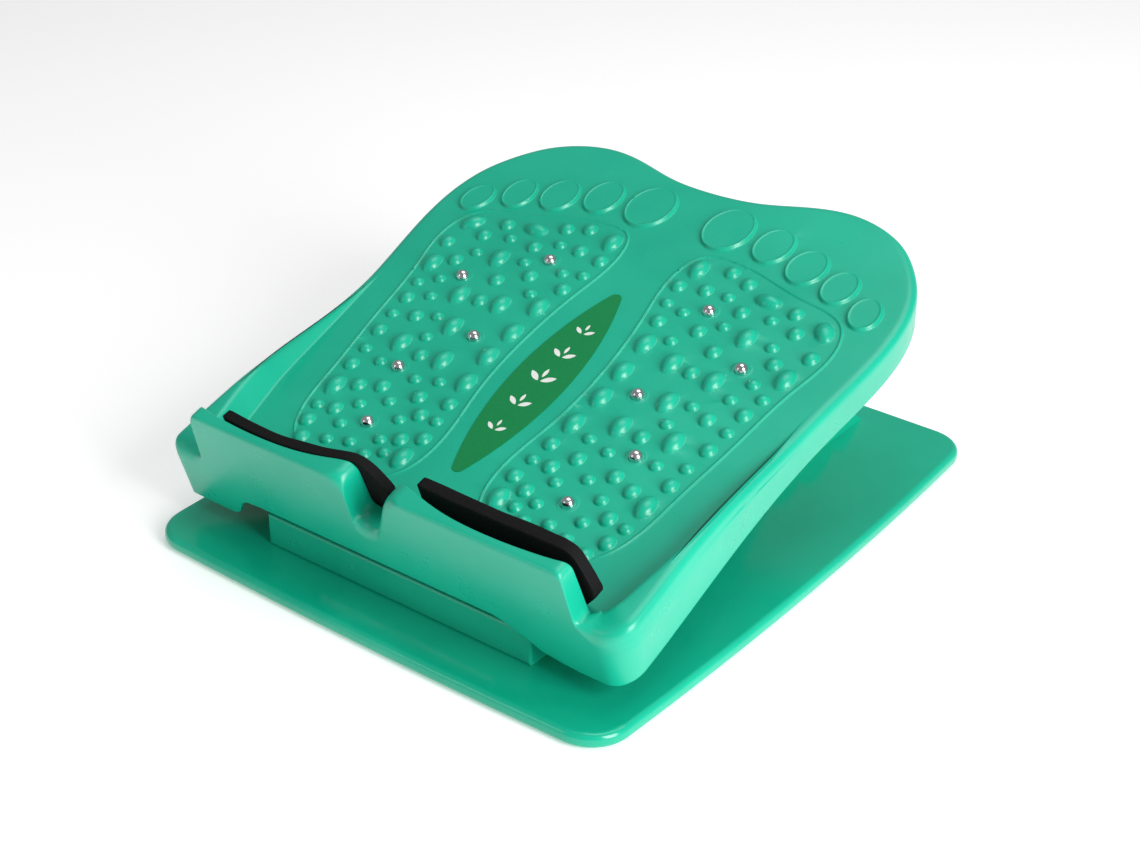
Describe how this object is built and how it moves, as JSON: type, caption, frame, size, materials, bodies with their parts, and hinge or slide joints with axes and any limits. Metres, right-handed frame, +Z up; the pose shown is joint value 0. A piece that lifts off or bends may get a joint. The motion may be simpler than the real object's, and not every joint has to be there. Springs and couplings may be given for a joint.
{
  "type": "slant board",
  "caption": "Moulded calf-stretch slant board with a massage tread, heel stops with foam pads and a folding prop over a notched base.",
  "frame": {"origin": "centre of the base at floor level", "axes": "+Y runs from the heel end to the toe end, +X is across the board, +Z is up"},
  "size_m": [0.33, 0.386, 0.1526],
  "materials": {
    "green_plastic": "smooth moulded sea-green plastic, satin gloss",
    "black_foam": "closed-cell black foam with a fine matt cell texture",
    "black_rubber": "matt black rubber",
    "bright_steel": "polished steel",
    "zinc_steel": "zinc-plated steel",
    "label_film": "thin printed dark green film with a plain pale motif",
    "white_nylon": "natural white nylon"
  },
  "bodies": {
    "base": {"base_plate": "green_plastic", "rack_rail_left": "green_plastic", "rack_rail_right": "green_plastic", "front_cross_wall": "green_plastic", "frame_screws": "zinc_steel", "rubber_feet": "black_rubber", "hinge_rod": "bright_steel", "hinge_rod_clips": "zinc_steel"},
    "board": {"foot_board": "green_plastic", "foam_pad_left": "black_foam", "foam_pad_right": "black_foam", "massage_balls_left": "bright_steel", "massage_balls_right": "bright_steel", "label_sticker": "label_film", "hinge_cap_left": "green_plastic", "hinge_cap_right": "green_plastic", "prop_cap_left": "green_plastic", "prop_cap_right": "green_plastic", "cap_screws": "zinc_steel"},
    "prop": {"prop_frame": "green_plastic", "prop_pivot_rod": "bright_steel", "prop_foot_bar": "bright_steel", "foot_roller_left": "white_nylon", "foot_roller_right": "white_nylon"}
  },
  "joints": [
    {"name": "board_tilt", "type": "hinge", "parent": "base", "child": "board", "pos_m": [0, -0.1498, 0.03748], "axis": [1, 0, 0], "range_deg": [-19, 11]},
    {"name": "prop_swing", "type": "hinge", "parent": "board", "child": "prop", "pos_m": [0, 0.02479, 0.09865], "axis": [1, 0, 0], "range_deg": [-33, 57]}
  ],
  "couplings": [
    {"joint": "prop_swing", "follows": "board_tilt", "ratio": -3}
  ]
}
